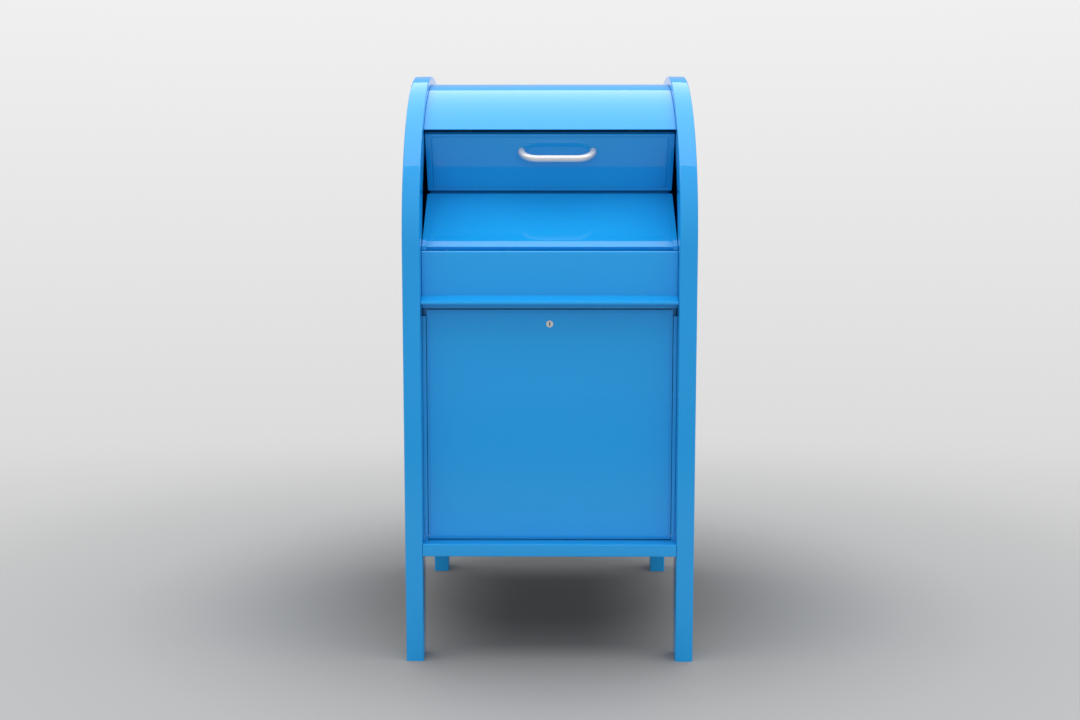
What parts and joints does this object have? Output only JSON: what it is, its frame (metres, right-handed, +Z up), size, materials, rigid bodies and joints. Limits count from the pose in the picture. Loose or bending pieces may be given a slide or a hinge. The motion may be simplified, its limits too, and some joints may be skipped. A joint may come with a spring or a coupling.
{
  "type": "street mailbox",
  "caption": "Dome-topped street mailbox on tube legs, with a tipping hopper door over a sloping ledge and a drop-down locking access door.",
  "frame": {"origin": "on the ground, at the centre of the four feet", "axes": "+Z up, front faces -Y, +X to the right as seen from the front"},
  "size_m": [0.55, 0.69, 1.136],
  "materials": {
    "paint_blue": "gloss blue paint on steel, clear and smooth",
    "paint_black": "satin black paint on steel",
    "zinc_steel": "dull zinc-plated steel, inside the body",
    "stainless": "satin stainless rod",
    "lock_chrome": "bright plated",
    "black_rubber": "matt black rubber",
    "black_plastic": "moulded black plastic"
  },
  "bodies": {
    "body": {"arch_frame_left": "paint_blue", "arch_frame_right": "paint_blue", "side_panel_left": "paint_blue", "side_panel_right": "paint_blue", "roof_sheet": "paint_blue", "rear_panel": "paint_blue", "floor_tray": "zinc_steel", "front_rail": "paint_blue", "rear_rail": "paint_blue", "side_rail_left": "paint_blue", "side_rail_right": "paint_blue", "front_upper_panel": "paint_blue", "drip_cap": "paint_blue", "header": "paint_blue", "jamb_left": "paint_blue", "jamb_right": "paint_blue", "ledge_panel": "paint_blue", "ledge_trim_left": "paint_blue", "ledge_trim_right": "paint_blue", "strike_plate": "zinc_steel", "door_seal_left": "black_rubber", "door_seal_right": "black_rubber", "door_seal_top": "black_rubber", "foot_plug_front_left": "black_plastic", "foot_plug_front_right": "black_plastic", "foot_plug_rear_left": "black_plastic", "foot_plug_rear_right": "black_plastic", "hopper_hinge_fixed": "paint_blue", "hopper_hinge_pin": "paint_blue", "hopper_stop_strip": "paint_black", "hopper_bumper_left": "black_rubber", "hopper_bumper_right": "black_rubber", "throat_baffle": "zinc_steel"},
    "hopper_door": {"hopper_door_panel": "paint_blue", "hopper_hinge_moving": "paint_blue", "hopper_tray": "zinc_steel", "hopper_cheek_left": "zinc_steel", "hopper_cheek_right": "zinc_steel", "hopper_counterweight": "zinc_steel", "hopper_handle": "stainless", "handle_nut_left": "zinc_steel", "handle_nut_right": "zinc_steel"},
    "access_door": {"access_door_panel": "paint_blue", "door_stiffener_left": "zinc_steel", "door_stiffener_centre": "zinc_steel", "door_stiffener_right": "zinc_steel", "door_pin_left": "zinc_steel", "door_pin_right": "zinc_steel", "lock_barrel": "lock_chrome", "lock_nut": "zinc_steel"},
    "lock_core": {"lock_core": "lock_chrome", "lock_cam": "zinc_steel", "cam_screw": "zinc_steel"}
  },
  "joints": [
    {"name": "hopper_tip", "type": "hinge", "parent": "body", "child": "hopper_door", "pos_m": [0, -0.168, 0.89628], "axis": [1, 0, 0], "range_deg": [0, 60]},
    {"name": "access_door_drop", "type": "hinge", "parent": "body", "child": "access_door", "pos_m": [0, -0.3054, 0.2371], "axis": [1, 0, 0], "range_deg": [0, 90]},
    {"name": "lock_turn", "type": "hinge", "parent": "access_door", "child": "lock_core", "pos_m": [0, -0.3054, 0.64807], "axis": [0, -1, 0], "range_deg": [0, 90]}
  ]
}
